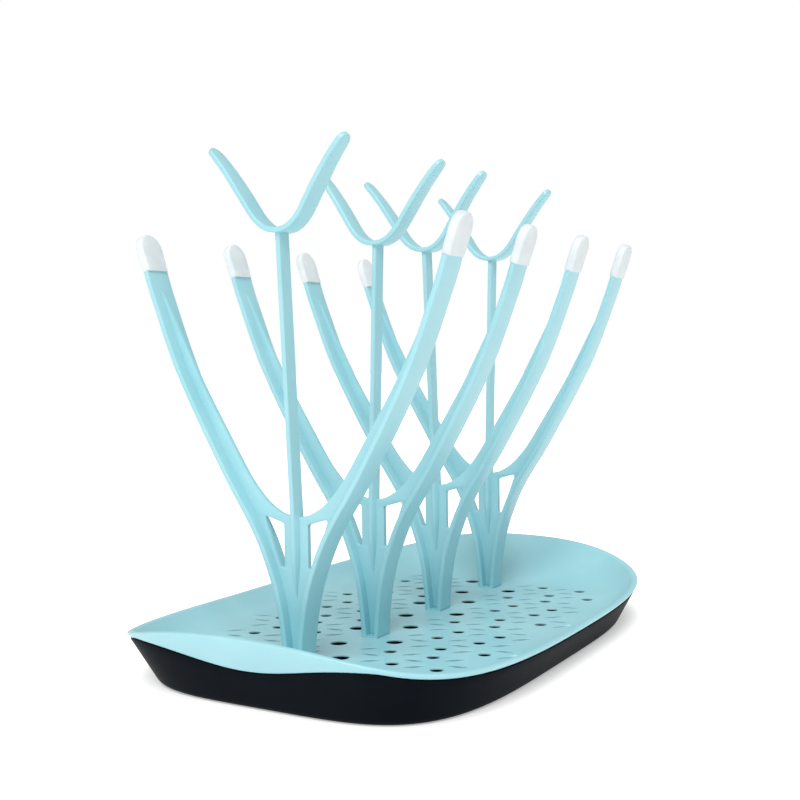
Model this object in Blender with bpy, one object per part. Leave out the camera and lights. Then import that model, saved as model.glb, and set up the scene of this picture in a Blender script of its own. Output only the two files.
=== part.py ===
"""Baby bottle drying rack: a drip tray, a perforated drain tray that lifts out of it, and four
branching trees that plug into the drain tray and carry soft tip caps.

Metres, +Z up. X runs along the row of trees, Y across it. The origin is on the table,
under the middle of the trays.
"""

import math

import bmesh
import bpy
from mathutils import Matrix, Vector

MM = 0.001

# Trays. Both follow one flared wall: a base outline on the table, a larger rim outline above it.
BASE_HALF = (136.5 * MM, 92.0 * MM)
RIM_HALF = (157.5 * MM, 104.6 * MM)
BASE_POWER = 4.2
RIM_POWER = 3.6
OUTLINE_POINTS = 80
FLOOR_TOP = 12.4 * MM
SIDE_RIM_RISE = 9.4 * MM
CORNER_RIM_RISE = 4.1 * MM
END_RIM_RISE = 12.2 * MM

# Drip tray: the lower one, whose rim sits just under the drain tray's rim.
DRIP_WALL = 2.0 * MM
DRIP_BASE = 2.2 * MM
RIM_BAND = 3.3 * MM
SCOOP_LOW = 8.2 * MM
SCOOP_RISE = 7.0 * MM
SCOOP_HALF_WIDTH = 62.0 * MM

# Drain tray: the upper one.
GAP = 0.3 * MM
NEST_INSET = 2.4 * MM
FLOOR_THICKNESS = 1.0 * MM
FLOOR_INSET = 22.0 * MM
ROUND_HOLE_SIDES = 8
LARGE_HOLE_RADIUS = 4.2 * MM
SMALL_HOLE_RADIUS = 3.2 * MM
SLIT_LENGTH = 11.0 * MM
SLIT_WIDTH = 3.4 * MM
HOLE_STAGGER = 9.6 * MM
HOLE_STEP = 12.2 * MM
TREE_COLUMN_START = 32.0 * MM
BETWEEN_COLUMN_START = 24.0 * MM
HOLE_MARGIN = 7.0 * MM

# Sockets under the drain tray's floor, one for each tree.
SOCKET_HALF = (7.0 * MM, 5.0 * MM)
SOCKET_WALL = 2.0 * MM
SOCKET_DEPTH = 8.6 * MM
SOCKET_FLOOR = 1.0 * MM
SOCKET_DRAIN_RADIUS = 1.8 * MM
PLUG_DEPTH = 8.0 * MM

# Trees.
TREE_SPACING = 70.0 * MM
TREE_COUNT = 4
FLANGE_HALF_WIDTH = 7.8 * MM
FLANGE_THICKNESS = 2.7 * MM
WEB_THICKNESS = 2.6 * MM
ARM_OUTER = [(4.9, 0.0), (6.1, 14.0), (8.6, 30.0), (13.2, 45.5), (22.0, 65.0), (39.8, 93.0),
             (65.0, 138.0), (80.8, 176.0), (86.6, 192.4)]
ARM_STEPS = 4
WEB_TOP_EDGE = [(1.0, 71.8), (8.0, 73.4), (15.5, 77.8), (21.5, 83.6), (27.5, 91.0),
                (36.5, 105.0), (46.5, 121.0), (55.0, 135.0), (64.5, 152.5), (72.7, 168.0),
                (78.8, 179.5), (81.0, 183.4)]
WINDOW = [(6.9, 47.4), (6.9, 68.6), (18.6, 72.0), (9.3, 47.0)]
WINDOW_ROUNDING = 1.1 * MM
STEM_WIDTH = 8.2 * MM
STEM_THICKNESS = 2.4 * MM
STEM_FOOT = 68.0 * MM
RIB_TIP = 30.0 * MM
RIB_FULL = 52.0 * MM
RIB_TOP = 71.0 * MM
RIB_HALF_DEPTH = 4.1 * MM
RIB_HALF_WIDTH = 2.9 * MM
STEM_LEAN = 8.2 * MM
FORK_BOTTOM = 206.5 * MM
FORK_SIDE = [(0.0, 206.7), (5.5, 208.5), (11.3, 213.0), (16.8, 220.2), (23.0, 228.9),
             (30.5, 238.8), (38.2, 247.4)]
FORK_THICKNESS = 2.5 * MM
FORK_WIDTH = 11.4 * MM

# Tip caps.
CAP_HALF_WIDTH = 8.1 * MM
CAP_LENGTH = 18.5 * MM
CAP_THICKNESS = 4.8 * MM
CAP_ROUNDING = 1.3 * MM
TONGUE_HALF_WIDTH = 5.5 * MM
TONGUE_THICKNESS = 1.8 * MM
TONGUE_LENGTH = 12.0 * MM


# ---------------------------------------------------------------- helpers


def clear_scene():
    for obj in list(bpy.data.objects):
        bpy.data.objects.remove(obj)


def collection(name):
    made = bpy.data.collections.new(name)
    bpy.context.scene.collection.children.link(made)
    return made


def material(name, colour, roughness):
    made = bpy.data.materials.new(name)
    made.use_nodes = True
    shader = made.node_tree.nodes["Principled BSDF"]
    shader.inputs["Base Color"].default_value = (*colour, 1.0)
    shader.inputs["Roughness"].default_value = roughness
    shader.inputs["Metallic"].default_value = 0.0
    return made


def add_object(name, mesh, where, finish=None):
    obj = bpy.data.objects.new(name, mesh)
    where.objects.link(obj)
    if finish:
        mesh.materials.clear()
        mesh.materials.append(finish)
    return obj


def mesh_from(bm, name):
    bmesh.ops.recalc_face_normals(bm, faces=bm.faces)
    mesh = bpy.data.meshes.new(name)
    bm.to_mesh(mesh)
    bm.free()
    return mesh


def loft(name, rings):
    """A closed solid through rings of equal point counts, capped at both ends."""
    bm = bmesh.new()
    rows = [[bm.verts.new(point) for point in ring] for ring in rings]
    count = len(rings[0])
    for lower, upper in zip(rows, rows[1:]):
        for i in range(count):
            j = (i + 1) % count
            bm.faces.new((lower[i], lower[j], upper[j], upper[i]))
    bm.faces.new(list(reversed(rows[0])))
    bm.faces.new(rows[-1])
    return mesh_from(bm, name)


def box(name, low, high):
    bm = bmesh.new()
    size = [b - a for a, b in zip(low, high)]
    centre = [(a + b) / 2 for a, b in zip(low, high)]
    place = Matrix.Translation(centre) @ Matrix.Diagonal((*size, 1.0))
    bmesh.ops.create_cube(bm, size=1.0, matrix=place)
    return mesh_from(bm, name)


def plate(name, outlines, half_width, to_world):
    """A flat outline, with any holes, thickened both ways and turned by a matrix."""
    curve = bpy.data.curves.new(name, "CURVE")
    curve.dimensions = "2D"
    curve.fill_mode = "BOTH"
    curve.extrude = half_width
    for outline in outlines:
        spline = curve.splines.new("POLY")
        spline.points.add(len(outline) - 1)
        for point, (u, v) in zip(spline.points, outline):
            point.co = (u, v, 0.0, 1.0)
        spline.use_cyclic_u = True
    holder = bpy.data.objects.new(name, curve)
    bpy.context.scene.collection.objects.link(holder)
    evaluated = holder.evaluated_get(bpy.context.evaluated_depsgraph_get())
    flat = bpy.data.meshes.new_from_object(evaluated)
    bm = bmesh.new()
    bm.from_mesh(flat)
    bmesh.ops.remove_doubles(bm, verts=bm.verts, dist=1e-6)
    bmesh.ops.transform(bm, matrix=to_world, verts=bm.verts)
    bpy.data.objects.remove(holder)
    return mesh_from(bm, name)


def combine(name, base, others, operation):
    """The base mesh joined with, or cut by, the other meshes, one after another."""
    scene = bpy.context.scene.collection
    obj = bpy.data.objects.new(name, base)
    scene.objects.link(obj)
    helpers = []
    for index, other in enumerate(others):
        helper = bpy.data.objects.new(f"{name}_{index}", other)
        scene.objects.link(helper)
        helpers.append(helper)
        modifier = obj.modifiers.new(f"{operation.lower()}_{index}", "BOOLEAN")
        modifier.operation = operation
        modifier.solver = "EXACT"
        modifier.object = helper
    bpy.context.view_layer.update()
    evaluated = obj.evaluated_get(bpy.context.evaluated_depsgraph_get())
    made = bpy.data.meshes.new_from_object(evaluated)
    for helper in helpers:
        bpy.data.objects.remove(helper)
    bpy.data.objects.remove(obj)
    made.name = name
    return made


def smooth_path(points, steps):
    """Points along a Catmull-Rom curve through the given ones."""
    ends = [points[0] * 2 - points[1], *points, points[-1] * 2 - points[-2]]
    path = []
    for a, b, c, d in zip(ends, ends[1:], ends[2:], ends[3:]):
        for step in range(steps):
            t = step / steps
            path.append(
                0.5 * ((2 * b) + (c - a) * t + (2 * a - 5 * b + 4 * c - d) * t * t
                       + (3 * b - a - 3 * c + d) * t ** 3)
            )
    return path + [points[-1]]


def side_step(path, distance):
    """The open path moved sideways, to its left as it runs."""
    moved = []
    for i, point in enumerate(path):
        along = path[min(i + 1, len(path) - 1)] - path[max(i - 1, 0)]
        normal = Vector((-along.y, along.x)).normalized()
        moved.append(point + normal * distance)
    return moved


def rounded(corners, radius, steps=3):
    """A closed outline with each corner replaced by a short arc."""
    outline = []
    count = len(corners)
    for i, corner in enumerate(corners):
        back = (corners[i - 1] - corner).normalized()
        ahead = (corners[(i + 1) % count] - corner).normalized()
        half = back.angle(ahead) / 2
        reach = min(radius / math.tan(half), 0.45 * (corners[i - 1] - corner).length)
        start, end = corner + back * reach, corner + ahead * reach
        for step in range(steps + 1):
            t = step / steps
            outline.append((1 - t) ** 2 * start + 2 * t * (1 - t) * corner + t * t * end)
    return outline


def in_mm(points):
    return [Vector(point) * MM for point in points]


# ---------------------------------------------------------------- tray wall


def outline_point(half, power, angle):
    c, s = math.cos(angle), math.sin(angle)
    reach = (abs(c / half[0]) ** power + abs(s / half[1]) ** power) ** (-1 / power)
    return Vector((reach * c, reach * s))


def rim_height(angle):
    spot = outline_point(RIM_HALF, RIM_POWER, angle)
    along = abs(spot.x / RIM_HALF[0])
    across = abs(spot.y / RIM_HALF[1])
    rise = SIDE_RIM_RISE + CORNER_RIM_RISE * along ** 2
    return FLOOR_TOP + rise + END_RIM_RISE * along ** 4 * (1 - across ** 2)


def drip_rim_height(angle):
    """The drip tray's rim, dipping at both ends to leave a finger hold on the drain tray."""
    spot = outline_point(RIM_HALF, RIM_POWER, angle)
    share = min(abs(spot.y) / SCOOP_HALF_WIDTH, 1.0)
    scoop = FLOOR_TOP + SCOOP_LOW + SCOOP_RISE * math.sin(share * math.pi / 2) ** 2
    return min(rim_height(angle) - RIM_BAND, scoop)


def wall_ring(height, inset):
    """A ring on the flared wall at height(angle), moved inwards in plan by inset."""
    ring = []
    for i in range(OUTLINE_POINTS):
        angle = 2 * math.pi * (i + 0.5) / OUTLINE_POINTS
        z = height(angle)
        share = z / rim_height(angle)
        base = outline_point(BASE_HALF, BASE_POWER, angle)
        rim = outline_point(RIM_HALF, RIM_POWER, angle)
        spot = base.lerp(rim, share)
        ring.append(Vector((spot.x, spot.y, z)))
    moved = []
    for i, point in enumerate(ring):
        along = ring[(i + 1) % OUTLINE_POINTS] - ring[i - 1]
        inward = Vector((-along.y, along.x, 0.0)).normalized()
        moved.append(point + inward * inset)
    return moved


def level(z):
    return lambda angle: z


def between_floor_and_rim(share):
    return lambda angle: FLOOR_TOP + share * (rim_height(angle) - FLOOR_TOP)


def below_rim(drop):
    return lambda angle: rim_height(angle) - drop


# ---------------------------------------------------------------- trays


def make_drip_tray():
    rings = [
        wall_ring(level(0.0), 1.2 * MM),
        wall_ring(level(1.6 * MM), 0.0),
        wall_ring(drip_rim_height, 0.0),
        wall_ring(drip_rim_height, DRIP_WALL),
        wall_ring(level(DRIP_BASE + 2.5 * MM), DRIP_WALL),
        wall_ring(level(DRIP_BASE), DRIP_WALL + 2.5 * MM),
    ]
    return loft("drip_tray", rings)


def seat_height(angle):
    return drip_rim_height(angle) + GAP


def drain_tray_shell():
    rings = [
        wall_ring(level(FLOOR_TOP - FLOOR_THICKNESS), 7.0 * MM),
        wall_ring(level(FLOOR_TOP + 2.0 * MM), NEST_INSET),
        wall_ring(seat_height, NEST_INSET),
        wall_ring(seat_height, 0.0),
        wall_ring(below_rim(0.9 * MM), 0.0),
        wall_ring(below_rim(0.0), 1.4 * MM),
        wall_ring(below_rim(0.8 * MM), 3.6 * MM),
        wall_ring(between_floor_and_rim(0.55), 5.8 * MM),
        wall_ring(between_floor_and_rim(0.2), 10.0 * MM),
        wall_ring(between_floor_and_rim(0.05), 15.0 * MM),
        wall_ring(level(FLOOR_TOP), FLOOR_INSET),
    ]
    return loft("drain_tray", rings)


def on_floor(x, y):
    """Whether a hole centred here stays on the flat floor."""
    half = (RIM_HALF[0] - FLOOR_INSET - HOLE_MARGIN, RIM_HALF[1] - FLOOR_INSET)
    return abs(x / half[0]) ** RIM_POWER + abs(y / half[1]) ** RIM_POWER < 1


def tree_positions():
    first = -TREE_SPACING * (TREE_COUNT - 1) / 2
    return [first + TREE_SPACING * i for i in range(TREE_COUNT)]


def floor_pattern():
    """Round holes as (x, y, radius) and slits as (x, y, angle). The pattern about each
    column looks the same when it is turned half round."""
    trees = tree_positions()
    columns = [(x, TREE_COLUMN_START) for x in trees]
    columns += [((a + b) / 2, BETWEEN_COLUMN_START) for a, b in zip(trees, trees[1:])]
    holes, slits = [], []
    for x in trees:
        for dx, dy in ((23.5 * MM, -8.0 * MM), (8.3 * MM, 16.5 * MM)):
            holes += [(x + s * dx, s * dy, LARGE_HOLE_RADIUS) for s in (1, -1)]
    for x, start in columns:
        for s in (1, -1):
            for k in range(4):
                dx = HOLE_STAGGER if k % 2 == 0 else -HOLE_STAGGER
                holes.append((x + s * dx, -s * (start + HOLE_STEP * k), SMALL_HOLE_RADIUS))
            for k in (-1, 1, 3):
                y = start + HOLE_STEP * k
                slits.append((x + s * HOLE_STAGGER, -s * y, -45.0))
                slits.append((x, -s * (y + HOLE_STEP / 2), -86.0))
                slits.append((x - s * HOLE_STAGGER, -s * (y + HOLE_STEP), -45.0))
    holes = [hole for hole in holes if on_floor(hole[0], hole[1])]
    slits = [slit for slit in slits if on_floor(slit[0], slit[1])]
    return holes, slits


def floor_cutter():
    holes, slits = floor_pattern()
    depth = 4 * FLOOR_THICKNESS
    bm = bmesh.new()
    for x, y, radius in holes:
        bmesh.ops.create_cone(
            bm, cap_ends=True, segments=ROUND_HOLE_SIDES, radius1=radius, radius2=radius,
            depth=depth, matrix=Matrix.Translation((x, y, FLOOR_TOP)),
        )
    for x, y, angle in slits:
        turn = Matrix.Rotation(math.radians(angle), 4, "Z")
        stretch = Matrix.Diagonal((SLIT_LENGTH / 2, SLIT_WIDTH / 2, 1.0, 1.0))
        bmesh.ops.create_cone(
            bm, cap_ends=True, segments=4, radius1=1.0, radius2=1.0, depth=depth,
            matrix=Matrix.Translation((x, y, FLOOR_TOP)) @ turn @ stretch,
        )
    return mesh_from(bm, "floor_cutter")


def make_drain_tray():
    sockets, pockets = [], []
    for x in tree_positions():
        wide = (SOCKET_HALF[0] + SOCKET_WALL, SOCKET_HALF[1] + SOCKET_WALL)
        bottom = FLOOR_TOP - SOCKET_DEPTH - SOCKET_FLOOR
        sockets.append(box("socket", (x - wide[0], -wide[1], bottom),
                           (x + wide[0], wide[1], FLOOR_TOP - FLOOR_THICKNESS / 2)))
        pockets.append(box("pocket", (x - SOCKET_HALF[0], -SOCKET_HALF[1],
                                      FLOOR_TOP - SOCKET_DEPTH),
                           (x + SOCKET_HALF[0], SOCKET_HALF[1], FLOOR_TOP + 5 * MM)))
        bm = bmesh.new()
        bmesh.ops.create_cone(
            bm, cap_ends=True, segments=ROUND_HOLE_SIDES, radius1=SOCKET_DRAIN_RADIUS,
            radius2=SOCKET_DRAIN_RADIUS, depth=6 * MM, matrix=Matrix.Translation((x, 0, bottom)),
        )
        pockets.append(mesh_from(bm, "socket_drain"))
    pierced = combine("pierced", drain_tray_shell(), [floor_cutter()], "DIFFERENCE")
    with_sockets = combine("with_sockets", pierced, sockets, "UNION")
    return combine("drain_tray", with_sockets, pockets, "DIFFERENCE")


# ---------------------------------------------------------------- trees

# Outlines are drawn as (y, z), and the plate's thickness runs along x.
UPRIGHT = Matrix(((0, 0, 1, 0), (1, 0, 0, 0), (0, 1, 0, 0), (0, 0, 0, 1)))


def mirrored(outline):
    return [Vector((-point.x, point.y)) for point in reversed(outline)]


def arm_end():
    """The centre of the arm's end, the direction along the arm there and the one across it."""
    path = smooth_path(in_mm(ARM_OUTER), ARM_STEPS)
    along = (path[-1] - path[-2]).normalized()
    across = Vector((along.y, -along.x))
    return path[-1] - across * FLANGE_THICKNESS / 2, along, across


def flange_meshes():
    outer = smooth_path(in_mm(ARM_OUTER), ARM_STEPS)
    outline = outer + list(reversed(side_step(outer, FLANGE_THICKNESS)))
    return [plate("flange", [shape], FLANGE_HALF_WIDTH, UPRIGHT)
            for shape in (outline, mirrored(outline))]


def web_mesh():
    outer = smooth_path(in_mm(ARM_OUTER), ARM_STEPS)
    rise = side_step(outer, FLANGE_THICKNESS / 2)[:-1]
    rise[0] = Vector((rise[0].x, 0.4 * MM))
    top = list(reversed(smooth_path(in_mm(WEB_TOP_EDGE), 2)))
    half = rise + top
    window = rounded(in_mm(WINDOW), WINDOW_ROUNDING)
    return plate("web", [half + mirrored(half), window, mirrored(window)],
                 WEB_THICKNESS / 2, UPRIGHT)


def rib_mesh():
    """The stem's root: a rib that grows out of both faces of the web from a pointed tip."""
    def ring(z, share):
        depth = WEB_THICKNESS / 3 + (RIB_HALF_DEPTH - WEB_THICKNESS / 3) * share
        narrow = STEM_THICKNESS / 2 * max(share, 0.1)
        wide = RIB_HALF_WIDTH * max(share, 0.1)
        corners = ((-depth, -narrow), (0.0, -wide), (depth, -narrow),
                   (depth, narrow), (0.0, wide), (-depth, narrow))
        return [Vector((x, y, z)) for x, y in corners]
    middle = (RIB_TIP + RIB_FULL) / 2
    return loft("rib", [ring(RIB_TIP, 0.0), ring(middle, 0.7), ring(RIB_FULL, 1.0),
                        ring(RIB_TOP, 1.0)])


def stem_mesh(lean):
    def ring(z, x):
        half, thick = STEM_WIDTH / 2, STEM_THICKNESS / 2
        corners = ((-half, -thick), (half, -thick), (half, thick), (-half, thick))
        return [Vector((x + dx, y, z)) for dx, y in corners]
    return loft("stem", [ring(STEM_FOOT, 0.0), ring(FORK_BOTTOM, lean)])


def fork_mesh(lean):
    """The U on top of the stem, for one teat. It leans on at the stem's slope."""
    side = in_mm(FORK_SIDE)
    middle = smooth_path(mirrored(side[1:]) + side, 2)
    half = FORK_THICKNESS / 2
    lower, upper = side_step(middle, -half), side_step(middle, half)

    def tip(end, before):
        along = (end - before).normalized()
        across = Vector((along.y, -along.x))
        return [end + (across * math.cos(a) + along * math.sin(a)) * half
                for a in (math.pi / 4, math.pi / 2, 3 * math.pi / 4)]
    outline = lower + tip(middle[-1], middle[-2]) + list(reversed(upper))
    outline += tip(middle[0], middle[1])
    slope = lean / (FORK_BOTTOM - STEM_FOOT)
    follow = Matrix(((1, 0, slope, -slope * STEM_FOOT), (0, 1, 0, 0), (0, 0, 1, 0), (0, 0, 0, 1)))
    return plate("fork", [outline], FORK_WIDTH / 2, follow @ UPRIGHT)


def arm_frame(side):
    """The frame of an arm's end: x across the strip, y through it, z along the arm."""
    centre, along, across = arm_end()
    return Matrix((
        (side, 0, 0, 0),
        (0, side * across.x, side * along.x, side * centre.x),
        (0, across.y, along.y, centre.y),
        (0, 0, 0, 1),
    ))


def tongue_mesh(side):
    tongue = box("tongue", (-TONGUE_HALF_WIDTH, -TONGUE_THICKNESS / 2, -1.5 * MM),
                 (TONGUE_HALF_WIDTH, TONGUE_THICKNESS / 2, TONGUE_LENGTH))
    tongue.transform(arm_frame(side))
    return tongue


def plug_mesh():
    half = (SOCKET_HALF[0] - GAP, SOCKET_HALF[1] - GAP)
    return box("plug", (-half[0], -half[1], -PLUG_DEPTH), (half[0], half[1], 1.5 * MM))


def tree_mesh(lean):
    first, second = flange_meshes()
    pieces = [second, web_mesh(), rib_mesh(), stem_mesh(lean), fork_mesh(lean),
              tongue_mesh(1), tongue_mesh(-1), plug_mesh()]
    return combine("tree", first, pieces, "UNION")


def tip_cap_mesh(side):
    """A soft sleeve with a round end, hollow where the arm's tongue goes in."""
    base, top = GAP, GAP + CAP_LENGTH
    outline = [Vector((-CAP_HALF_WIDTH, base)), Vector((CAP_HALF_WIDTH, base))]
    arc_steps = 10
    for i in range(arc_steps + 1):
        a = math.pi * i / arc_steps
        outline.append(Vector((CAP_HALF_WIDTH * math.cos(a),
                               top - CAP_HALF_WIDTH + CAP_HALF_WIDTH * math.sin(a))))
    facing = Matrix(((1, 0, 0, 0), (0, 0, 1, 0), (0, 1, 0, 0), (0, 0, 0, 1)))
    body = plate("cap", [outline], CAP_THICKNESS / 2, facing)
    bm = bmesh.new()
    bm.from_mesh(body)
    rims = [edge for edge in bm.edges if edge.is_manifold and edge.calc_face_angle() > 1.2]
    bmesh.ops.bevel(bm, geom=rims, offset=CAP_ROUNDING, segments=2, profile=0.5,
                    affect="EDGES", clamp_overlap=True)
    body = mesh_from(bm, "cap")
    wide = TONGUE_HALF_WIDTH + GAP
    deep = TONGUE_THICKNESS / 2 + GAP
    pocket = box("pocket", (-wide, -deep, -2 * MM), (wide, deep, TONGUE_LENGTH + 2 * GAP))
    cap = combine("tip_cap", body, [pocket], "DIFFERENCE")
    cap.transform(arm_frame(side))
    return cap


# ---------------------------------------------------------------- assembly


def main():
    clear_scene()
    rack = collection("bottle_drying_rack")
    aqua = material("aqua_plastic", (0.42, 0.78, 0.83), 0.35)
    black = material("black_plastic", (0.012, 0.015, 0.022), 0.32)
    soft = material("soft_cap_rubber", (0.72, 0.77, 0.79), 0.5)

    add_object("drip_tray", make_drip_tray(), rack, black)
    drain = add_object("drain_tray", make_drain_tray(), rack, aqua)
    caps = {side: tip_cap_mesh(side) for side in (1, -1)}
    trees = {side: tree_mesh(side * STEM_LEAN) for side in (-1, 1)}
    for index, x in enumerate(tree_positions()):
        lean_side = -1 if index % 2 == 0 else 1
        tree = add_object(f"tree_{index + 1}", trees[lean_side], rack, aqua)
        tree.location = (x, 0.0, FLOOR_TOP + GAP)
        tree.parent = drain
        for side, word in ((1, "left"), (-1, "right")):
            cap = add_object(f"tip_cap_{index + 1}_{word}", caps[side], rack, soft)
            cap.parent = tree


main()
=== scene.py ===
import math

import bmesh
import bpy
from mathutils import Matrix, Vector


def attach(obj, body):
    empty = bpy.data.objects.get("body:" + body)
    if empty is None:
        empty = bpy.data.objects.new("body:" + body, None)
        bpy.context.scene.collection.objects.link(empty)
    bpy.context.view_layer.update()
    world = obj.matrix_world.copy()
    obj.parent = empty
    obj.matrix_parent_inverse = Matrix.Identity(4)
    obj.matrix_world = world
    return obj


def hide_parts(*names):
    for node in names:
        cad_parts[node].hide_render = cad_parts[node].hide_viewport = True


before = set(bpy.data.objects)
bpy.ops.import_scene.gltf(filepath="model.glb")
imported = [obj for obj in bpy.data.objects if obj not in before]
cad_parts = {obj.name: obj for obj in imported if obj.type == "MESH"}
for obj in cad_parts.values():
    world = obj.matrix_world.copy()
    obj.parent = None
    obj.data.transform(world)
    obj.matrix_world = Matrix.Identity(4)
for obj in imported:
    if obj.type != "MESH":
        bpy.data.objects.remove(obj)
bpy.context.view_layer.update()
print("frame loaded:", len(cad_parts), "nodes")

mm = 0.001
floorTop = 12.4 * mm                      # the drain tray's floor above the table
treeLift = 0.3 * mm                       # the gap the trees stand on
treePlaces = [-105 * mm, -35 * mm, 35 * mm, 105 * mm]


# Helpers that every piece uses.

def clearSelection():
    if bpy.context.mode != "OBJECT":
        bpy.ops.object.mode_set(mode="OBJECT")
    bpy.ops.object.select_all(action="DESELECT")


def makeActive(piece):
    clearSelection()
    piece.select_set(True)
    bpy.context.view_layer.objects.active = piece


# A circle is moved onto the first ring, then extruded onto each next one. Both ends are filled.
def sweepRings(name, rings):
    clearSelection()
    bpy.ops.mesh.primitive_circle_add(vertices=len(rings[0]), radius=0.01)
    piece = bpy.context.object
    piece.name = name
    piece.data.name = name
    for vertex, place in zip(piece.data.vertices, rings[0]):
        vertex.co = place
    bpy.ops.object.mode_set(mode="EDIT")
    bpy.ops.mesh.select_all(action="SELECT")
    for before, after in zip(rings, rings[1:]):
        bpy.ops.mesh.extrude_region()
        shape = bmesh.from_edit_mesh(piece.data)
        where = {tuple(old): new for old, new in zip(before, after)}
        for vertex in [v for v in shape.verts if v.select]:
            vertex.co = where[tuple(vertex.co)]
        bmesh.update_edit_mesh(piece.data)
    bpy.ops.mesh.edge_face_add()
    bpy.ops.mesh.select_all(action="DESELECT")
    shape = bmesh.from_edit_mesh(piece.data)
    for edge in shape.edges:
        if edge.is_boundary:
            edge.select_set(True)
    bmesh.update_edit_mesh(piece.data)
    bpy.ops.mesh.edge_face_add()
    bpy.ops.mesh.select_all(action="SELECT")
    bpy.ops.mesh.normals_make_consistent(inside=False)
    bpy.ops.object.mode_set(mode="OBJECT")
    return piece


def addBox(name, low, high, rounding=0.0):
    clearSelection()
    size = [b - a for a, b in zip(low, high)]
    middle = [(a + b) / 2 for a, b in zip(low, high)]
    bpy.ops.mesh.primitive_cube_add(size=1.0)
    piece = bpy.context.object
    piece.name = name
    piece.data.transform(Matrix.Translation(middle) @ Matrix.Diagonal((*size, 1.0)))
    if rounding:
        bpy.ops.object.mode_set(mode="EDIT")
        bpy.ops.mesh.select_all(action="SELECT")
        bpy.ops.mesh.bevel(offset=rounding, segments=2, affect="EDGES")
        bpy.ops.object.mode_set(mode="OBJECT")
    return piece


def applyBoolean(piece, others, operation):
    for other in others:
        step = piece.modifiers.new("shape", "BOOLEAN")
        step.operation = operation
        step.solver = "EXACT"
        step.object = other
        makeActive(piece)
        bpy.ops.object.modifier_apply(modifier=step.name)
        bpy.data.objects.remove(other)
    return piece


def shadeSmooth(piece, degrees=32):
    makeActive(piece)
    bpy.ops.object.shade_smooth_by_angle(angle=math.radians(degrees))


def ownCopy(piece, name, move):
    made = bpy.data.objects.new(name, piece.data.copy())
    made.data.name = name
    bpy.context.scene.collection.objects.link(made)
    made.data.transform(move)
    return made


def roundedRect(halfWidth, halfHeight, radius, steps=3):
    corners = []
    for turn, (sx, sy) in enumerate(((1, 1), (-1, 1), (-1, -1), (1, -1))):
        for step in range(steps + 1):
            angle = math.radians(90 * turn + 90 * step / steps)
            x = sx * (halfWidth - radius) + radius * math.cos(angle)
            y = sy * (halfHeight - radius) + radius * math.sin(angle)
            corners.append((x, y))
    return corners


# A smooth run of points through the given ones.
def smoothRun(points, steps):
    ends = [points[0] * 2 - points[1], *points, points[-1] * 2 - points[-2]]
    run = []
    for a, b, c, d in zip(ends, ends[1:], ends[2:], ends[3:]):
        for step in range(steps):
            t = step / steps
            run.append(0.5 * ((2 * b) + (c - a) * t + (2 * a - 5 * b + 4 * c - d) * t * t
                              + (3 * b - a - 3 * c + d) * t ** 3))
    return run + [points[-1]]


def sidewaysOf(run, index):
    along = run[min(index + 1, len(run) - 1)] - run[max(index - 1, 0)]
    return Vector((-along.y, along.x)).normalized()


# The flared wall that both trays share.
trayWall = {
    "baseHalf": (136.5 * mm, 92.0 * mm),
    "rimHalf": (157.5 * mm, 104.6 * mm),
    "basePower": 4.2,
    "rimPower": 3.6,
    "points": 200,
    "cornerPull": 0.12,
    "cornerReach": 0.5,                   # in radians
    "sideRise": 9.4 * mm,
    "cornerRise": 4.1 * mm,
    "endRise": 12.2 * mm,
}


def outlineSpot(half, power, angle):
    c, s = math.cos(angle), math.sin(angle)
    reach = (abs(c / half[0]) ** power + abs(s / half[1]) ** power) ** (-1 / power)
    return Vector((reach * c, reach * s))


def rimHeight(angle):
    place = outlineSpot(trayWall["rimHalf"], trayWall["rimPower"], angle)
    along = abs(place.x / trayWall["rimHalf"][0])
    across = abs(place.y / trayWall["rimHalf"][1])
    rise = trayWall["sideRise"] + trayWall["cornerRise"] * along ** 2
    return floorTop + rise + trayWall["endRise"] * along ** 4 * (1 - across ** 2)


# More points go where the outline turns, so the corners stay round.
def outlineAngles():
    count = trayWall["points"]
    corner = math.atan2(trayWall["baseHalf"][1], trayWall["baseHalf"][0])
    angles = []
    for i in range(count):
        even = 2 * math.pi * (i + 0.5) / count
        pull = 0.0
        for middle in (corner, math.pi - corner, math.pi + corner, -corner):
            away = (even - middle + math.pi) % (2 * math.pi) - math.pi
            pull -= trayWall["cornerPull"] * away * math.exp(-(away / trayWall["cornerReach"]) ** 2)
        angles.append(even + pull)
    return angles


trayAngles = outlineAngles()


def wallRing(height, inset):
    ring = []
    for angle in trayAngles:
        z = height(angle)
        base = outlineSpot(trayWall["baseHalf"], trayWall["basePower"], angle)
        rim = outlineSpot(trayWall["rimHalf"], trayWall["rimPower"], angle)
        place = base.lerp(rim, z / rimHeight(angle))
        ring.append(Vector((place.x, place.y, z)))
    moved = []
    for i, place in enumerate(ring):
        along = ring[(i + 1) % len(ring)] - ring[i - 1]
        inward = Vector((-along.y, along.x, 0.0)).normalized()
        moved.append(place + inward * inset)
    return moved


def level(z):
    return lambda angle: z


def underRim(drop):
    return lambda angle: rimHeight(angle) - drop


def floorToRim(share):
    return lambda angle: floorTop + share * (rimHeight(angle) - floorTop)


# A plain pan that stands flat, with a low scoop at each end.
dripTray = {
    "wall": 2.0 * mm,
    "base": 2.2 * mm,
    "belowRim": 3.3 * mm,
    "scoopLow": 8.2 * mm,
    "scoopRise": 7.0 * mm,
    "scoopHalfWidth": 62.0 * mm,
    "outerBend": 3.2 * mm,                # the round edge it stands on
    "innerBend": 3.0 * mm,
    "wallShares": (0.25, 0.5, 0.75),
    "topEdge": [(0.8, 0.0), (0.4, 0.12), (0.12, 0.4), (0.0, 0.8), (0.0, 1.2),
                (0.05, 1.65), (0.25, 1.92), (0.6, 2.0)],  # how far down and in, in mm
}


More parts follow.
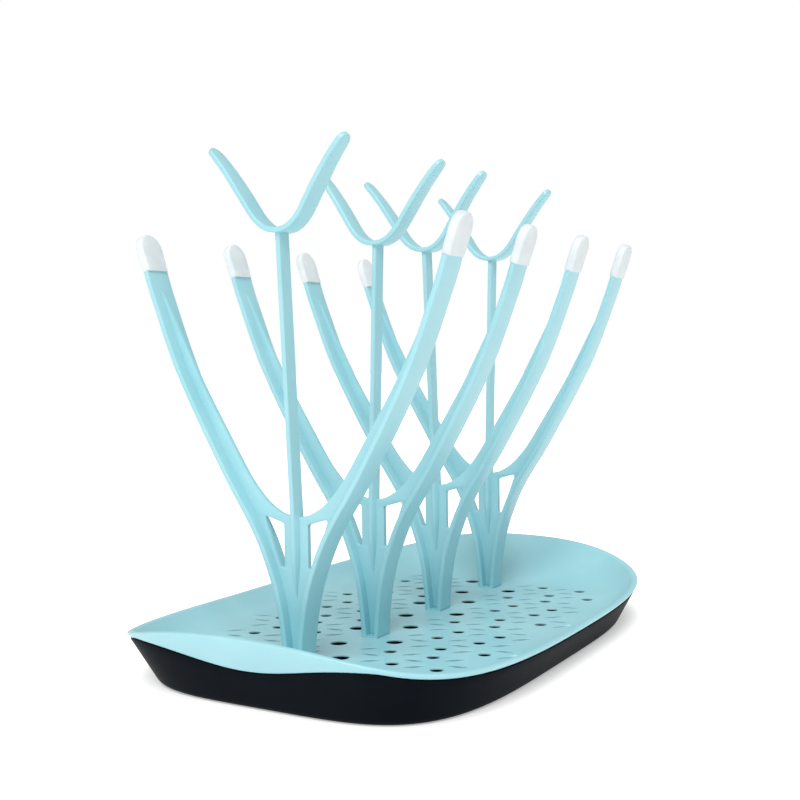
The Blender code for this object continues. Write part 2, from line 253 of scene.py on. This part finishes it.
def dripRimHeight(angle):
    place = outlineSpot(trayWall["rimHalf"], trayWall["rimPower"], angle)
    share = min(abs(place.y) / dripTray["scoopHalfWidth"], 1.0)
    dip = dripTray["scoopRise"] * math.sin(share * math.pi / 2) ** 2
    scoop = floorTop + dripTray["scoopLow"] + dip
    return min(rimHeight(angle) - dripTray["belowRim"], scoop)


def dripRim(drop):
    return lambda angle: dripRimHeight(angle) - drop


def makeDripTray():
    outer, inner = dripTray["outerBend"], dripTray["innerBend"]
    rings = []
    for step in range(7):
        a = math.radians(90 * step / 6)
        rings.append(wallRing(level(outer * (1 - math.cos(a))), outer * (1 - math.sin(a))))
    for share in dripTray["wallShares"]:
        rings.append(wallRing(lambda angle, s=share: outer + s * (dripRimHeight(angle) - outer),
                              0.0))
    for drop, inset in dripTray["topEdge"]:
        rings.append(wallRing(dripRim(drop * mm), inset * mm))
    top = dripTray["base"] + inner
    for step in range(6):
        a = math.radians(90 * step / 5)
        inset = dripTray["wall"] + inner * (1 - math.cos(a))
        rings.append(wallRing(level(top - inner * math.sin(a)), inset))
    return sweepRings("dripTray", rings)


# It nests in the drip tray, and its floor is cut through with round holes and slits.
drainTray = {
    "gap": 0.3 * mm,
    "nestInset": 2.4 * mm,
    "floorThickness": 0.8 * mm,
    "floorInset": 22.0 * mm,
    "floorBend": 21.0 * mm,               # how far in the floor becomes level
    "undersideInset": 7.4 * mm,
    "underside": [(-0.6, 6.3), (0.1, 4.5), (2.0, 2.4)],  # above the floor's top and in, in mm
    "seatEdge": [(0.0, 0.75), (0.2, 0.5), (0.7, 0.2)],  # above the seat and in, in mm
    "bead": 1.9 * mm,                     # the radius of the round rim
    "beadFlatness": 0.62,
    "inside": [(0.8, 4.5), (0.6, 5.7), (0.42, 7.3), (0.27, 9.3), (0.16, 11.6),
               (0.08, 14.2), (0.03, 17.2), (0.005, 20.0)],  # share of the rise, mm in
    "pocketHalf": (7.0 * mm, 5.0 * mm),
    "pocketDepth": 8.6 * mm,
    "socketWall": 2.0 * mm,
    "socketBase": 1.0 * mm,
    "socketRounding": 0.5 * mm,
    "pocketAbove": 4.0 * mm,              # how far its cutter stands above the floor
}

drainHoles = {
    "large": 4.4 * mm,
    "small": 3.3 * mm,
    "slit": (5.6 * mm, 1.55 * mm),
    "stagger": 9.6 * mm,
    "step": 12.2 * mm,
    "treeStart": 32.0 * mm,
    "betweenStart": 24.0 * mm,
    "margin": 7.0 * mm,
    "patternHalf": (155.0 * mm, 103.8 * mm),
    "besideTree": [(23.5 * mm, -8.0 * mm), (8.3 * mm, 16.5 * mm)],
    "slitTurns": (-45.0, -86.0),
    "slitPoint": 1.35,                    # how pointed a slit's ends are
    "flare": 0.2 * mm,                    # the chamfer on a hole's edge
    "cutAbove": 1.0 * mm,
}


def drainShell():
    bead = drainTray["bead"]
    gap = drainTray["gap"]
    lowest = floorTop - drainTray["floorThickness"]
    rings = [wallRing(level(lowest), drainTray["undersideInset"])]
    for rise, inset in drainTray["underside"]:
        rings.append(wallRing(level(floorTop + rise * mm), inset * mm))
    rings.append(wallRing(dripRim(-gap), drainTray["nestInset"]))
    for rise, inset in drainTray["seatEdge"]:
        rings.append(wallRing(dripRim(-gap - rise * mm), inset * mm))
    for step in range(9):                 # the bead that runs round the rim
        a = math.radians(180 * step / 8)
        drop = bead * (1 - math.sin(a)) * drainTray["beadFlatness"]
        rings.append(wallRing(underRim(drop), bead * (1 - math.cos(a))))
    for share, inset in drainTray["inside"]:
        rings.append(wallRing(floorToRim(share), inset * mm))
    for inset in (drainTray["floorBend"], drainTray["floorInset"]):
        rings.append(wallRing(level(floorTop), inset))
    return sweepRings("drainTray", rings)


def onFloor(x, y):
    long, wide = drainHoles["patternHalf"]
    half = (long - drainTray["floorInset"] - drainHoles["margin"],
            wide - drainTray["floorInset"])
    power = trayWall["rimPower"]
    return abs(x / half[0]) ** power + abs(y / half[1]) ** power < 1


# The pattern round each column looks the same turned half round.
def holePlaces():
    columns = [(x, drainHoles["treeStart"]) for x in treePlaces]
    between = zip(treePlaces, treePlaces[1:])
    columns += [((a + b) / 2, drainHoles["betweenStart"]) for a, b in between]
    side, step = drainHoles["stagger"], drainHoles["step"]
    leaning, upright = drainHoles["slitTurns"]
    rounds, slits = [], []
    for x in treePlaces:
        for dx, dy in drainHoles["besideTree"]:
            rounds += [(x + s * dx, s * dy, drainHoles["large"]) for s in (1, -1)]
    for x, start in columns:
        for s in (1, -1):
            for k in range(4):
                dx = side if k % 2 == 0 else -side
                rounds.append((x + s * dx, -s * (start + step * k), drainHoles["small"]))
            for k in (-1, 1, 3):
                y = start + step * k
                slits.append((x + s * side, -s * y, leaning))
                slits.append((x, -s * (y + step / 2), upright))
                slits.append((x - s * side, -s * (y + step), leaning))
    rounds = [hole for hole in rounds if onFloor(hole[0], hole[1])]
    slits = [slit for slit in slits if onFloor(slit[0], slit[1])]
    return rounds, slits


# A cutter with a flared top, which leaves a small chamfer on the hole's edge.
def holeCutter(name, half, points, pointed):
    flare, above = drainHoles["flare"], drainHoles["cutAbove"]
    depth = 5 * drainTray["floorThickness"]
    rings = []
    for z, grow in ((-depth, 0.0), (-flare, 0.0), (above, flare + above)):
        ring = []
        for i in range(points):
            a = 2 * math.pi * i / points
            c, s = math.cos(a), math.sin(a)
            wide = math.copysign(abs(s) ** drainHoles["slitPoint"], s) if pointed else s
            ring.append(Vector(((half[0] + grow) * c, (half[1] + grow) * wide, floorTop + z)))
        rings.append(ring)
    return sweepRings(name, rings)


def makeDrainTray():
    tray = drainShell()
    rounds, slits = holePlaces()
    models = {
        drainHoles["large"]: holeCutter("largeHole", (drainHoles["large"],) * 2, 24, False),
        drainHoles["small"]: holeCutter("smallHole", (drainHoles["small"],) * 2, 20, False),
    }
    slitModel = holeCutter("slit", drainHoles["slit"], 16, True)
    cutters = []
    for x, y, radius in rounds:
        cutters.append(ownCopy(models[radius], "cut", Matrix.Translation((x, y, 0.0))))
    for x, y, degrees in slits:
        turn = Matrix.Rotation(math.radians(degrees), 4, "Z")
        cutters.append(ownCopy(slitModel, "cut", Matrix.Translation((x, y, 0.0)) @ turn))
    for model in [*models.values(), slitModel]:
        bpy.data.objects.remove(model)
    clearSelection()
    for cutter in cutters:
        cutter.select_set(True)
    bpy.context.view_layer.objects.active = cutters[0]
    bpy.ops.object.join()
    applyBoolean(tray, [bpy.context.object], "DIFFERENCE")

    sockets, pockets = [], []
    half, depth = drainTray["pocketHalf"], drainTray["pocketDepth"]
    wall = drainTray["socketWall"]
    for x in treePlaces:
        low = (x - half[0] - wall, -half[1] - wall, floorTop - depth - drainTray["socketBase"])
        high = (x + half[0] + wall, half[1] + wall, floorTop - drainTray["floorThickness"] / 2)
        sockets.append(addBox("socket", low, high, drainTray["socketRounding"]))
        low = (x - half[0], -half[1], floorTop - depth)
        high = (x + half[0], half[1], floorTop + drainTray["pocketAbove"])
        pockets.append(addBox("pocket", low, high))
    applyBoolean(tray, sockets, "UNION")
    return applyBoolean(tray, pockets, "DIFFERENCE")


# A tree is drawn in its own plane: points are (out, up) from the middle of its foot, in mm.
tree = {
    "armOuter": [(4.9, 0.0), (6.1, 14.0), (8.6, 30.0), (13.2, 45.5), (22.0, 65.0),
                 (39.8, 93.0), (65.0, 138.0), (80.8, 176.0), (86.13, 191.1)],
    "armSteps": 6,
    "armHalfWidth": (6.4 * mm, 7.8 * mm),  # at the foot, at the end
    "armWideAt": 150.0 * mm,              # the height where it has its full width
    "armThickness": 2.7 * mm,
    "armRounding": 0.7 * mm,
    "webTop": [(1.0, 71.8), (8.0, 73.4), (15.5, 77.8), (21.5, 83.6), (27.5, 91.0),
               (36.5, 105.0), (46.5, 121.0), (55.0, 135.0), (64.5, 152.5), (72.7, 168.0),
               (78.8, 179.5), (81.0, 183.2)],
    "webTopSteps": 3,
    "webStart": 0.4 * mm,
    "webSink": 0.4,                       # how deep it reaches into an arm, share of its thickness
    "webShortBy": 3,                      # points it stops short of an arm's end
    "webThickness": 2.6 * mm,
    "webRounding": 0.3 * mm,
    "window": [(6.9, 47.4), (6.9, 68.6), (18.6, 72.0), (9.3, 47.0)],
    "windowRounding": 1.5 * mm,
}

stem = {
    "halfWidth": 4.1 * mm,
    "halfThickness": 1.2 * mm,
    "ribHalfWidth": 2.9 * mm,
    "ribTip": 30.0 * mm,
    "ribFull": 52.0 * mm,
    "ribTop": 70.0 * mm,
    "leanStart": 68.0 * mm,
    "lean": 8.2 * mm,
    "top": 206.9 * mm,
    "tipDepth": 0.6 * mm,                 # half the rib's depth at its pointed end
    "tipThickness": 0.08,                 # shares of the full size at that end
    "tipEdge": 0.1,
    "tipBelly": 0.1 * mm,
    "tipPower": 0.8,
    "edge": 0.35 * mm,
    "flank": (0.45, 0.55),                # where a side bends: share out, share of the belly
    "blend": 6.0 * mm,                    # over which the rib narrows into the stem
}

plug = {
    "gap": 0.3 * mm,
    "depth": 8.0 * mm,
    "rise": 0.3 * mm,
    "rounding": 0.15 * mm,
}

fork = {
    "bottom": 206.5 * mm,
    "side": [(0.0, 206.8), (4.6, 207.4), (9.0, 209.7), (13.4, 214.1), (18.2, 221.2),
             (23.5, 229.0), (30.5, 238.5), (38.2, 247.4)],
    "halfThickness": 1.25 * mm,
    "halfWidth": 5.6 * mm,
    "tipHalfWidth": 4.3 * mm,
    "taper": 28.0 * mm,                   # how far from its end a limb starts to narrow
    "rounding": 0.6 * mm,
    "steps": 4,
    "tipSteps": 9,
    "tipClear": 0.5 * mm,
    "tipThickness": 0.6,                  # share of the full thickness
    "lastAngle": 84,
}


def inMm(points):
    return [Vector(point) * mm for point in points]


def armRun():
    return smoothRun(inMm(tree["armOuter"]), tree["armSteps"])


def makeArm(side):
    run = armRun()
    low, high = tree["armHalfWidth"]
    thick = tree["armThickness"]
    rings = []
    for i, place in enumerate(run):
        out = -sidewaysOf(run, i)
        middle = place - out * thick / 2
        half = low + (high - low) * min(place.y / tree["armWideAt"], 1.0)
        shape = roundedRect(half, thick / 2, tree["armRounding"])
        rings.append([Vector((u, side * (middle.x + out.x * v), middle.y + out.y * v))
                      for u, v in shape])
    return sweepRings("arm", rings)


def roundedLoop(corners, radius, steps=5):
    loop = []
    for i, corner in enumerate(corners):
        back = (corners[i - 1] - corner).normalized()
        ahead = (corners[(i + 1) % len(corners)] - corner).normalized()
        reach = radius / math.tan(back.angle(ahead) / 2)
        reach = min(reach, 0.45 * (corners[i - 1] - corner).length)
        start, end = corner + back * reach, corner + ahead * reach
        for step in range(steps + 1):
            t = step / steps
            loop.append((1 - t) ** 2 * start + 2 * t * (1 - t) * corner + t * t * end)
    return loop


def flipped(loop):
    return [Vector((-place.x, place.y)) for place in reversed(loop)]


# The flat web between the arms, with its two windows. Its edges are rounded.
def makeWeb():
    run = armRun()
    rise = [place + sidewaysOf(run, i) * tree["armThickness"] * tree["webSink"]
            for i, place in enumerate(run)][:-tree["webShortBy"]]
    rise[0].y = tree["webStart"]
    half = rise + list(reversed(smoothRun(inMm(tree["webTop"]), tree["webTopSteps"])))
    window = roundedLoop(inMm(tree["window"]), tree["windowRounding"])
    clearSelection()
    bpy.ops.object.add(type="CURVE")
    piece = bpy.context.object
    drawing = piece.data
    drawing.dimensions = "2D"
    drawing.fill_mode = "BOTH"
    rounding = tree["webRounding"]
    drawing.extrude = tree["webThickness"] / 2 - rounding
    drawing.bevel_depth = rounding
    drawing.bevel_resolution = 1
    drawing.offset = -rounding
    for loop in (half + flipped(half), window, flipped(window)):
        line = drawing.splines.new("POLY")
        line.points.add(len(loop) - 1)
        for knot, place in zip(line.points, loop):
            knot.co = (place.x, place.y, 0.0, 1.0)
        line.use_cyclic_u = True
    makeActive(piece)
    bpy.ops.object.convert(target="MESH")
    piece = bpy.context.object
    piece.data.transform(Matrix(((0, 0, 1, 0), (1, 0, 0, 0), (0, 1, 0, 0), (0, 0, 0, 1))))
    bpy.ops.object.mode_set(mode="EDIT")
    bpy.ops.mesh.select_all(action="SELECT")
    bpy.ops.mesh.remove_doubles(threshold=2e-6)
    bpy.ops.mesh.normals_make_consistent(inside=False)
    bpy.ops.object.mode_set(mode="OBJECT")
    return piece


# The stem grows out of the web as a pointed rib and leans along the row as it rises.
def makeStem(side):
    slope = side * stem["lean"] / (fork["bottom"] - stem["leanStart"])
    bend, bulge = stem["flank"]
    rings = []

    def addRing(z, share, belly):
        deep = stem["tipDepth"] + (stem["halfWidth"] - stem["tipDepth"]) * share
        thin = stem["halfThickness"] * max(share, stem["tipThickness"])
        wide = max(belly * share, stem["tipBelly"])
        shift = max(z - stem["leanStart"], 0.0) * slope
        edge = stem["edge"] * max(share, stem["tipEdge"])
        half = [(deep, -thin + edge), (deep, thin - edge), (deep - edge, thin),
                (deep * bend, max(thin, thin + (wide - thin) * bulge)), (0.0, wide)]
        loop = half + [(-x, y) for x, y in reversed(half[:-1])]
        loop += [(x, -y) for x, y in reversed(loop[2:-2])]
        rings.append([Vector((x + shift, y, z)) for x, y in loop])

    for step in range(6):
        share = step / 5
        z = stem["ribTip"] + (stem["ribFull"] - stem["ribTip"]) * share
        addRing(z, share ** stem["tipPower"], stem["ribHalfWidth"])
    addRing(stem["ribTop"], 1.0, stem["ribHalfWidth"])
    for step in range(4):
        t = (step + 1) / 4
        belly = stem["ribHalfWidth"] + (stem["halfThickness"] - stem["ribHalfWidth"]) * t
        addRing(stem["ribTop"] + stem["blend"] * t, 1.0, belly)
    z = stem["ribTop"] + stem["blend"]
    for step in range(4):
        addRing(z + (stem["top"] - z) * (step + 1) / 4, 1.0, stem["halfThickness"])
    return sweepRings("stem", rings)


# One limb of the U from the middle of its bottom outwards: place, side direction, half width.
def forkLimb():
    points = inMm(fork["side"])
    wide, half = fork["halfWidth"], fork["tipHalfWidth"]
    run = smoothRun(flipped(points[1:]) + points, fork["steps"])
    limb = []
    for i in range(len(run) // 2, len(run)):
        left = (run[i] - run[-1]).length
        if left > half + fork["tipClear"]:
            limb.append((run[i], sidewaysOf(run, i),
                         half + (wide - half) * min(left / fork["taper"], 1.0)))
    along = (run[-1] - limb[-1][0]).normalized()
    across = Vector((-along.y, along.x))
    start = run[-1] - along * half
    for step in range(fork["tipSteps"] + 1):
        a = math.radians(fork["lastAngle"] * step / fork["tipSteps"])
        limb.append((start + along * half * math.sin(a), across, half * math.cos(a)))
    return limb


def makeFork(side):
    slope = side * stem["lean"] / (fork["bottom"] - stem["leanStart"])
    limb = forkLimb()
    other = [(Vector((-place.x, place.y)), Vector((-across.x, across.y)), half)
             for place, across, half in reversed(limb[1:])]
    least = fork["tipThickness"]
    rings = []
    for middle, across, half in other + limb:
        fade = min(1.0, math.sqrt(half / fork["tipHalfWidth"]))
        thin = fork["halfThickness"] * (least + (1 - least) * fade)
        shape = roundedRect(half, thin, min(fork["rounding"], 0.9 * half))
        ring = []
        for u, v in shape:
            place = middle + across * v
            ring.append(Vector((u + slope * (place.y - stem["leanStart"]), place.x, place.y)))
        rings.append(ring)
    return sweepRings("fork", rings)


def makeTree(side):
    half = [size - plug["gap"] for size in drainTray["pocketHalf"]]
    root = addBox("plug", (-half[0], -half[1], -plug["depth"]), (half[0], half[1], plug["rise"]),
                  plug["rounding"])
    body = makeWeb()
    body.name = "tree"
    parts = [makeArm(1), makeArm(-1), makeStem(side), makeFork(side), root]
    return applyBoolean(body, parts, "UNION")


# A cap is built upright, then moved onto the end of an arm.
tipCap = {
    "halfWidth": 8.0 * mm,
    "waist": 7.75 * mm,                   # half the width where it meets the arm
    "length": 19.7 * mm,
    "halfThickness": 2.35 * mm,
    "gap": 0.05 * mm,
    "rounding": 1.7 * mm,
    "lowerEdge": [(0.0, 0.2), (0.06, 0.06), (0.25, 0.0)],  # up and in, in mm
    "lastAngle": 86,                      # where the round end is closed off, in degrees
    "endHalfWidth": 0.9 * mm,
    "endHalfThickness": 0.5 * mm,
    "fadeReach": 1.2 * mm,
    "fadeShare": 0.55,
    "fadePower": 0.6,
}


# The arm's end: x across the strip, y out of its face, z along the arm.
def armEnd(side):
    run = armRun()
    along = (run[-1] - run[-2]).normalized()
    across = Vector((along.y, -along.x))
    middle = run[-1] - across * tree["armThickness"] / 2
    return Matrix(((side, 0, 0, 0),
                   (0, side * across.x, side * along.x, side * middle.x),
                   (0, across.y, along.y, middle.y),
                   (0, 0, 0, 1)))


def makeTipCap(side):
    rings = []

    def addRing(z, half, thin):
        shape = roundedRect(half, thin, min(tipCap["rounding"], 0.7 * thin), 4)
        rings.append([Vector((u, v, z)) for u, v in shape])

    gap, waist = tipCap["gap"], tipCap["waist"]
    wide, thin = tipCap["halfWidth"], tipCap["halfThickness"]
    for rise, inset in tipCap["lowerEdge"]:
        addRing(gap + rise * mm, waist - inset * mm, thin - inset * mm)
    roundStart = gap + tipCap["length"] - wide
    for step in range(1, 4):
        t = step / 4
        addRing(gap + (roundStart - gap) * t, waist + (wide - waist) * t, thin)
    for step in range(13):
        a = math.radians(tipCap["lastAngle"] * step / 12)
        half = wide * math.cos(a)
        fade = min(1.0, (half + tipCap["fadeReach"]) / (tipCap["fadeShare"] * wide))
        addRing(roundStart + wide * math.sin(a), max(half, tipCap["endHalfWidth"]),
                max(thin * fade ** tipCap["fadePower"], tipCap["endHalfThickness"]))
    cap = sweepRings("tipCap", rings)
    cap.data.transform(armEnd(side))
    return cap


# Wraps a node's output, so that a sum written on it adds its Math nodes.
class Wire:
    def __init__(self, paint, socket):
        self.paint = paint
        self.socket = socket

    def calc(self, operation, first, second):
        return self.paint.node("ShaderNodeMath", {"operation": operation}, [first, second])

    def __add__(self, other):
        return self.calc("ADD", self, other)

    def __radd__(self, other):
        return self.calc("ADD", other, self)

    def __sub__(self, other):
        return self.calc("SUBTRACT", self, other)

    def __rsub__(self, other):
        return self.calc("SUBTRACT", other, self)

    def __mul__(self, other):
        return self.calc("MULTIPLY", self, other)

    def __rmul__(self, other):
        return self.calc("MULTIPLY", other, self)


class Paint:
    def __init__(self, name):
        self.material = bpy.data.materials.new(name)
        self.material.use_nodes = True
        self.nodes = self.material.node_tree.nodes
        self.links = self.material.node_tree.links
        self.shader = self.nodes["Principled BSDF"]

    def put(self, socket, value):
        if isinstance(value, Wire):
            self.links.new(value.socket, socket)
        elif hasattr(socket.default_value, "__len__") and len(value) == 3 < len(socket.default_value):
            socket.default_value = (*value, 1.0)
        else:
            socket.default_value = value

    def node(self, kind, settings, inputs, output=0):
        made = self.nodes.new(kind)
        for key, value in settings.items():
            if key == "stops":
                for stop, (place, shade) in zip(made.color_ramp.elements, value):
                    stop.position = place
                    stop.color = (shade, shade, shade, 1.0)
            else:
                setattr(made, key, value)
        pairs = inputs.items() if isinstance(inputs, dict) else enumerate(inputs)
        for key, value in pairs:
            self.put(made.inputs[key], value)
        return Wire(self, made.outputs[output])

    def where(self):
        return self.node("ShaderNodeTexCoord", {}, {}, "Object")

    def noise(self, place, scale, detail=2.0, rough=0.5):
        inputs = {"Vector": place, "Scale": scale, "Detail": detail, "Roughness": rough}
        return self.node("ShaderNodeTexNoise", {}, inputs, "Fac")

    def ramp(self, value, low, high):
        stops = {"stops": [(low, 0.0), (high, 1.0)]}
        return self.node("ShaderNodeValToRGB", stops, {"Fac": value})

    def mix(self, factor, first, second):
        made = self.nodes.new("ShaderNodeMix")
        made.data_type = "RGBA"
        self.put(made.inputs["Factor"], factor)
        self.put(made.inputs[6], first)
        self.put(made.inputs[7], second)
        return Wire(self, made.outputs[2])

    def bump(self, height, strength, distance):
        inputs = {"Height": height, "Strength": strength, "Distance": distance}
        return self.node("ShaderNodeBump", {}, inputs)

    def finish(self, **values):
        for name, value in values.items():
            self.put(self.shader.inputs[name.replace("_", " ")], value)
        return self.material


bumpDepth = 0.3 * mm


aqua = {
    "main": (0.350, 0.635, 0.690),
    "deep": (0.300, 0.595, 0.655),
    "pale": (0.450, 0.710, 0.755),
    "shade": (0.190, 0.530, 0.610),       # painted shade: a deep teal laid on low down on the trees, standing in for the shadow in the recesses round the foot
    "paintedShadeHeights": (0.013, 0.055),
    "paintedShadeShare": 0.45,
    "driftScale": 14.0,
    "flowScale": 55.0,
    "grainScale": 600.0,
    "dripScale": 85.0,
    "dripPatchScale": 22.0,
    "flowShare": 0.25,
    "dripShare": 0.14,
    "roughness": 0.28,
    "flowRoughness": 0.10,
    "grainRoughness": 0.05,
    "dripRoughness": 0.12,
    "bumpStrength": 0.06,
    "subsurface": 0.04,
}


# Milky aqua moulding: slow colour drift, faint flow marks, a satin grain, and either a few dried
# drips or, for the trees, painted shade that darkens them low down near the foot.
def aquaPlastic(name, drips):
    paint = Paint(name)
    place = paint.where()
    drift = paint.noise(place, aqua["driftScale"], 3.0)
    flow = paint.noise(place, aqua["flowScale"], 4.0, 0.6)
    grain = paint.noise(place, aqua["grainScale"], 2.0)
    colour = paint.mix(paint.ramp(drift, 0.3, 0.7), aqua["deep"], aqua["main"])
    colour = paint.mix(paint.ramp(flow, 0.52, 0.8) * aqua["flowShare"], colour, aqua["pale"])
    roughness = aqua["roughness"] + aqua["flowRoughness"] * flow + aqua["grainRoughness"] * grain
    if drips:
        cells = paint.node("ShaderNodeTexVoronoi", {"feature": "F1"},
                           {"Vector": place, "Scale": aqua["dripScale"], "Randomness": 1.0},
                           "Distance")
        marks = paint.ramp(cells, 0.10, 0.16) * (1 - paint.ramp(cells, 0.17, 0.24))
        marks = marks * paint.ramp(paint.noise(place, aqua["dripPatchScale"]), 0.54, 0.66)
        colour = paint.mix(marks * aqua["dripShare"], colour, aqua["pale"])
        roughness = roughness + aqua["dripRoughness"] * marks
    else:
        # Painted shade: towards the foot, the colour is mixed towards a deep teal by height, in place
        # of the shadow in the recesses there.
        height = paint.node("ShaderNodeSeparateXYZ", {}, {"Vector": place}, 2)
        low = 1 - paint.ramp(height, *aqua["paintedShadeHeights"])
        colour = paint.mix(low * aqua["paintedShadeShare"], colour, aqua["shade"])
    normal = paint.bump(grain * 0.2 + flow * 0.8, aqua["bumpStrength"], bumpDepth)
    return paint.finish(Base_Color=colour, Roughness=roughness, Normal=normal, Metallic=0.0,
                        Subsurface_Weight=aqua["subsurface"],
                        Subsurface_Radius=(0.4, 1.0, 1.0),
                        Subsurface_Scale=0.002, Specular_IOR_Level=0.5)


black = {
    "low": (0.0034, 0.0050, 0.0076),
    "high": (0.0055, 0.0078, 0.0108),
    "roughness": 0.30,
    "smearRoughness": 0.16,
    "grainRoughness": 0.06,
    "smearScale": 26.0,
    "grainScale": 700.0,
    "bumpStrength": 0.10,
}


# Near-black satin moulding with a navy tint, a fine grain and light handling smears.
def blackPlastic():
    paint = Paint("blackPlastic")
    place = paint.where()
    smear = paint.noise(place, black["smearScale"], 4.0, 0.6)
    grain = paint.noise(place, black["grainScale"], 2.0)
    colour = paint.mix(paint.ramp(smear, 0.35, 0.75), black["low"], black["high"])
    roughness = black["roughness"] + black["smearRoughness"] * smear
    roughness = roughness + black["grainRoughness"] * grain
    normal = paint.bump(grain, black["bumpStrength"], bumpDepth)
    return paint.finish(Base_Color=colour, Roughness=roughness, Normal=normal, Metallic=0.0,
                        Specular_IOR_Level=0.01)


rubber = {
    "low": (0.63, 0.68, 0.70),
    "high": (0.71, 0.755, 0.765),
    "roughness": 0.46,
    "cloudRoughness": 0.12,
    "skinRoughness": 0.06,
    "cloudScale": 120.0,
    "skinScale": 800.0,
    "bumpStrength": 0.14,
    "subsurface": 0.2,
}


# Soft matt silicone, slightly cloudy, with a dusting on its skin.
def capRubber():
    paint = Paint("capRubber")
    place = paint.where()
    cloud = paint.noise(place, rubber["cloudScale"], 3.0)
    skin = paint.noise(place, rubber["skinScale"], 2.0)
    colour = paint.mix(paint.ramp(cloud, 0.3, 0.7), rubber["low"], rubber["high"])
    roughness = rubber["roughness"] + rubber["cloudRoughness"] * cloud
    roughness = roughness + rubber["skinRoughness"] * skin
    normal = paint.bump(skin + 0.6 * cloud, rubber["bumpStrength"], bumpDepth)
    return paint.finish(Base_Color=colour, Roughness=roughness, Normal=normal, Metallic=0.0,
                        Subsurface_Weight=rubber["subsurface"],
                        Subsurface_Radius=(1.0, 1.0, 1.0),
                        Subsurface_Scale=0.003, Specular_IOR_Level=0.4)


# Gives a finished piece its material and smooth shading, attaches it to its body, and hides the frame
# node it stands in for.
def fit(piece, body, node, material):
    piece.data.materials.clear()
    piece.data.materials.append(material)
    for face in piece.data.polygons:
        face.material_index = 0
    shadeSmooth(piece)
    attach(piece, body)
    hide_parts(node)


trayAqua = aquaPlastic("aquaTrayPlastic", True)
# The trees' material carries painted shade low down near the foot.
treeAquaPaintedShade = aquaPlastic("aquaTreePlasticPaintedShade", False)
fit(makeDripTray(), "drip_tray", "drip_tray", blackPlastic())
print("drip tray made")
fit(makeDrainTray(), "drain_tray", "drain_tray", trayAqua)
print("drain tray made")

treeModels = {side: makeTree(side) for side in (-1, 1)}
capModels = {side: makeTipCap(side) for side in (1, -1)}
capFinish = capRubber()
for index, x in enumerate(treePlaces):
    number = index + 1
    move = Matrix.Translation((x, 0.0, floorTop + treeLift))
    side = -1 if index % 2 == 0 else 1
    made = ownCopy(treeModels[side], f"tree{number}", move)
    fit(made, f"tree_{number}", f"tree_{number}", treeAquaPaintedShade)
    for capSide, word in ((1, "left"), (-1, "right")):
        cap = ownCopy(capModels[capSide], f"tipCap{number}{word.title()}", move)
        fit(cap, f"tree_{number}", f"tip_cap_{number}_{word}", capFinish)
for model in [*treeModels.values(), *capModels.values()]:
    bpy.data.objects.remove(model)
print("trees and caps made")


# Floor, light and camera. Angles are in degrees.
stage = {
    "floorSize": 12.0,
    "floorColour": (0.95, 0.95, 0.95),
    "floorRoughness": 0.9,
    "floorGlow": 0.36,
    "worldLight": 0.53,
    "sunLight": 2.35,
    "sunAngle": 32,
    "sunTurn": (39, 0, -71),
    "lens": 52.2,
    "sensor": 36.0,
    "cameraPlace": (-0.5549, -0.3180, 0.1644),
    "yaw": 30.08,
    "pitch": -2.59,
    "roll": -0.79,
}

clearSelection()
bpy.ops.mesh.primitive_plane_add(size=stage["floorSize"], location=(0, 0, 0))
ground = bpy.context.object
ground.name = "floor"
paint = Paint("floorPaper")
paper = paint.finish(Base_Color=stage["floorColour"], Roughness=stage["floorRoughness"],
                     Emission_Color=(1.0, 1.0, 1.0), Emission_Strength=stage["floorGlow"])
ground.data.materials.append(paper)

world = bpy.data.worlds.new("studio")
bpy.context.scene.world = world
world.use_nodes = True
sky = world.node_tree.nodes["Background"]
sky.inputs["Color"].default_value = (1, 1, 1, 1)
rays = world.node_tree.nodes.new("ShaderNodeLightPath")
seen = world.node_tree.nodes.new("ShaderNodeMapRange")
seen.inputs["To Min"].default_value = stage["worldLight"]
seen.inputs["To Max"].default_value = 1.0
world.node_tree.links.new(rays.outputs["Is Camera Ray"], seen.inputs["Value"])
world.node_tree.links.new(seen.outputs["Result"], sky.inputs["Strength"])

bpy.ops.object.light_add(type="SUN")
sun = bpy.context.object
sun.data.energy = stage["sunLight"]
sun.data.angle = math.radians(stage["sunAngle"])
sun.rotation_euler = [math.radians(value) for value in stage["sunTurn"]]

bpy.ops.object.camera_add()
camera = bpy.context.object
camera.data.lens = stage["lens"]
camera.data.sensor_width = stage["sensor"]
turn = Matrix.Rotation(math.radians(stage["yaw"] - 90), 4, "Z")
tilt = Matrix.Rotation(math.radians(90 + stage["pitch"]), 4, "X")
rollOver = Matrix.Rotation(math.radians(stage["roll"]), 4, "Z")
camera.matrix_world = Matrix.Translation(stage["cameraPlace"]) @ turn @ tilt @ rollOver
bpy.context.scene.camera = camera
bpy.context.scene.view_settings.view_transform = "Standard"
print("stage made")
